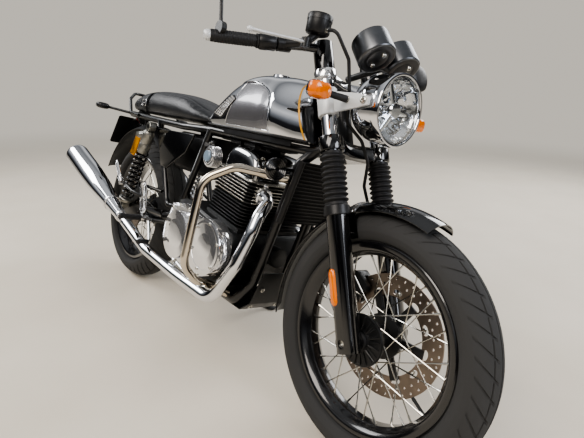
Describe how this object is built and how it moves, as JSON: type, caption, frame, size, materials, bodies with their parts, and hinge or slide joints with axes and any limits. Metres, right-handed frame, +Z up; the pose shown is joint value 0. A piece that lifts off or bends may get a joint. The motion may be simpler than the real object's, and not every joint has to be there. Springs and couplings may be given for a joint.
{
  "type": "cafe racer motorcycle",
  "caption": "Twin-cylinder cafe racer motorcycle with spoked wheels, clip-on bars, chrome tank and twin mufflers, leaning on its side stand; bars steer, wheels spin, stand folds.",
  "frame": {"origin": "on the floor under the middle of the parked machine's box", "axes": "+X forward, +Y to the rider's left, +Z up; the machine leans 14.5 degrees towards +Y on its side stand"},
  "size_m": [2.0794, 0.8952, 1.2218],
  "materials": {
    "tyre_rubber": "matt",
    "black_rim": "gloss black",
    "spoke_steel": "bright",
    "black_cast": "satin black",
    "disc_steel": "brushed",
    "plain_steel": "satin",
    "chrome": "mirror",
    "gloss_black": "gloss",
    "frame_black": "gloss black",
    "black_rubber": "matt",
    "polished_alloy": "polished",
    "silver_paint": "satin silver",
    "clear_glass": "clear",
    "black_plastic": "fine grain",
    "amber_plastic": "gloss amber",
    "grey_plastic": "smoke grey",
    "black_fins": "satin black, cast",
    "seat_leather": "soft sheen",
    "chain_steel": "oiled",
    "spring_black": "gloss black",
    "mirror_black": "gloss black"
  },
  "bodies": {
    "chassis": {"rear_axle": "plain_steel", "frame": "frame_black", "swingarm": "frame_black", "rear_shocks": "silver_paint", "shock_springs": "spring_black", "crankcase": "black_cast", "engine_covers": "polished_alloy", "cylinder_block": "black_fins", "cylinder_head": "black_fins", "rocker_cover": "polished_alloy", "throttle_bodies": "black_plastic", "exhaust_pipes": "chrome", "mufflers": "chrome", "engine_guard": "chrome", "oil_cooler": "black_cast", "horn": "black_plastic", "oil_filter": "black_cast", "bash_plate": "black_cast", "fuel_tank": "chrome", "fuel_cap": "chrome", "seat": "seat_leather", "side_covers": "gloss_black", "rear_mudguard": "black_plastic", "rear_lights": "grey_plastic", "grab_rail": "frame_black", "footrest_plates": "polished_alloy", "foot_controls": "black_rubber", "drive_chain": "chain_steel", "rear_caliper": "black_cast", "throttle_covers": "polished_alloy"},
    "steering": {"lower_clamp": "black_cast", "top_clamp": "polished_alloy", "fork_tubes": "chrome", "fork_sliders": "gloss_black", "fork_gaiters": "black_rubber", "headlight_shell": "chrome", "headlight_lens": "clear_glass", "headlight_brackets": "silver_paint", "instruments": "gloss_black", "handlebars": "black_cast", "bar_grips": "black_rubber", "hand_controls": "black_cast", "bar_end_mirrors": "mirror_black", "front_indicators": "amber_plastic", "front_mudguard": "gloss_black", "front_caliper": "black_cast", "front_axle": "plain_steel", "brake_hose": "black_rubber"},
    "front_wheel": {"front_tyre": "tyre_rubber", "front_rim": "black_rim", "front_spokes": "spoke_steel", "front_hub": "black_cast", "front_disc": "disc_steel"},
    "rear_wheel": {"rear_tyre": "tyre_rubber", "rear_rim": "black_rim", "rear_spokes": "spoke_steel", "rear_hub": "black_cast", "rear_disc": "disc_steel"},
    "side_stand": {"side_stand": "frame_black"}
  },
  "joints": [
    {"name": "steering_turn", "type": "hinge", "parent": "chassis", "child": "steering", "pos_m": [0.45001, -0.04258, 0.8111], "axis": [-0.4067, 0.2287, 0.8844], "range_deg": [-32, 32]},
    {"name": "front_wheel_spin", "type": "hinge", "parent": "steering", "child": "front_wheel", "pos_m": [0.72173, -0.17125, 0.31355], "axis": [0, 0.9681, -0.2504], "continuous": true},
    {"name": "rear_wheel_spin", "type": "hinge", "parent": "chassis", "child": "rear_wheel", "pos_m": [-0.67627, -0.17075, 0.31551], "axis": [0, 0.9681, -0.2504], "continuous": true},
    {"name": "side_stand_fold", "type": "hinge", "parent": "chassis", "child": "side_stand", "pos_m": [-0.03627, -0.09711, 0.16891], "axis": [0.0524, 0.7204, 0.6916], "range_deg": [0, 94]}
  ]
}
